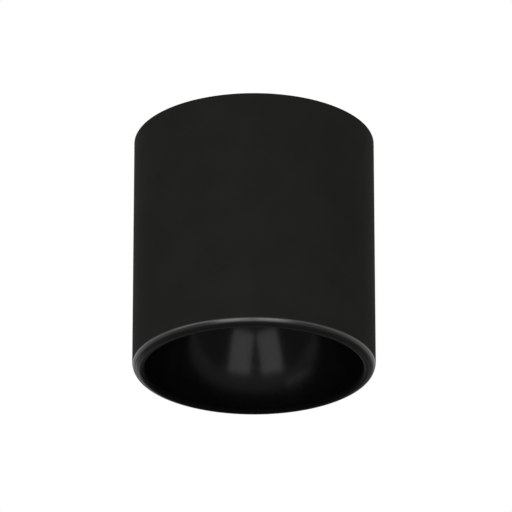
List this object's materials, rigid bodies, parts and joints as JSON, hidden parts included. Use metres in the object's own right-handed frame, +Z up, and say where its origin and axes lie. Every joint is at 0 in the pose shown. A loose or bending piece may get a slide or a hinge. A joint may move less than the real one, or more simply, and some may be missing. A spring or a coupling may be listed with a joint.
{
  "type": "surface-mounted ceiling downlight",
  "caption": "Matte black cylindrical ceiling downlight, surface mounted, with a rounded rim, a screwed front ring, a deep glossy reflector and a twist-lock ceiling plate.",
  "frame": {"origin": "on the ceiling plane, on the can's axis, midway between the two ceiling screws", "axes": "+Z up into the ceiling, -Z down to the rim; +X along the line of the two ceiling screws; -Y is the side the picture looks at"},
  "size_m": [0.1, 0.1, 0.103],
  "materials": {
    "black_coat": "matte black powder coat",
    "gloss_black": "polished black",
    "clear_glass": "clear, polished",
    "silicone": "matte translucent",
    "plated_sheet": "zinc plated, satin",
    "black_rubber": "matte",
    "cast_aluminium": "die-cast, bead blasted",
    "plated_screws": "zinc plated",
    "grey_pad": "matte",
    "white_board": "white solder resist",
    "phosphor": "satin",
    "white_plastic": "moulded, fine texture",
    "green_board": "satin solder resist",
    "wound_tape": "taped winding",
    "capacitor_sleeve": "shrink sleeve",
    "cream_plastic": "moulded",
    "terminal_brass": "turned",
    "brown_insulation": "satin",
    "blue_insulation": "satin",
    "red_insulation": "satin",
    "black_insulation": "satin"
  },
  "bodies": {
    "ceiling_mount": {"ceiling_plate": "plated_sheet", "cable_grommet": "black_rubber"},
    "can": {"housing": "black_coat", "heat_sink": "cast_aluminium", "heat_sink_screws": "plated_screws", "driver_tray": "plated_sheet", "tray_screws": "plated_screws", "driver_base": "white_plastic", "driver_lid": "white_plastic", "driver_board": "green_board", "driver_transformer": "wound_tape", "driver_capacitor": "capacitor_sleeve", "driver_screws": "plated_screws", "terminal_block": "cream_plastic", "terminal_inserts": "terminal_brass", "terminal_screws": "plated_screws", "terminal_fixing_screw": "plated_screws", "live_lead": "brown_insulation", "neutral_lead": "blue_insulation", "led_lead_positive": "red_insulation", "led_lead_negative": "black_insulation", "thermal_pad": "grey_pad", "led_board": "white_board", "led_emitter": "phosphor", "led_holder": "white_plastic", "led_holder_screws": "plated_screws"},
    "reflector_unit": {"reflector": "gloss_black", "lens": "clear_glass", "lens_seal": "silicone"},
    "ring": {"front_ring": "black_coat"}
  },
  "joints": [
    {"name": "can_twist", "type": "hinge", "parent": "ceiling_mount", "child": "can", "pos_m": [0, 0, 0], "axis": [0, 0, -1], "range_deg": [0, 30]},
    {"name": "reflector_drop", "type": "slide", "parent": "can", "child": "reflector_unit", "axis": [0, 0, -1], "range_m": [0, 0.006]},
    {"name": "ring_unscrew", "type": "hinge", "parent": "reflector_unit", "child": "ring", "pos_m": [0, 0, -0.103], "axis": [0, 0, -1], "range_deg": [0, 1440]}
  ],
  "couplings": [
    {"joint": "reflector_drop", "follows": "ring_unscrew", "m_per_rad": 0.00023873}
  ]
}
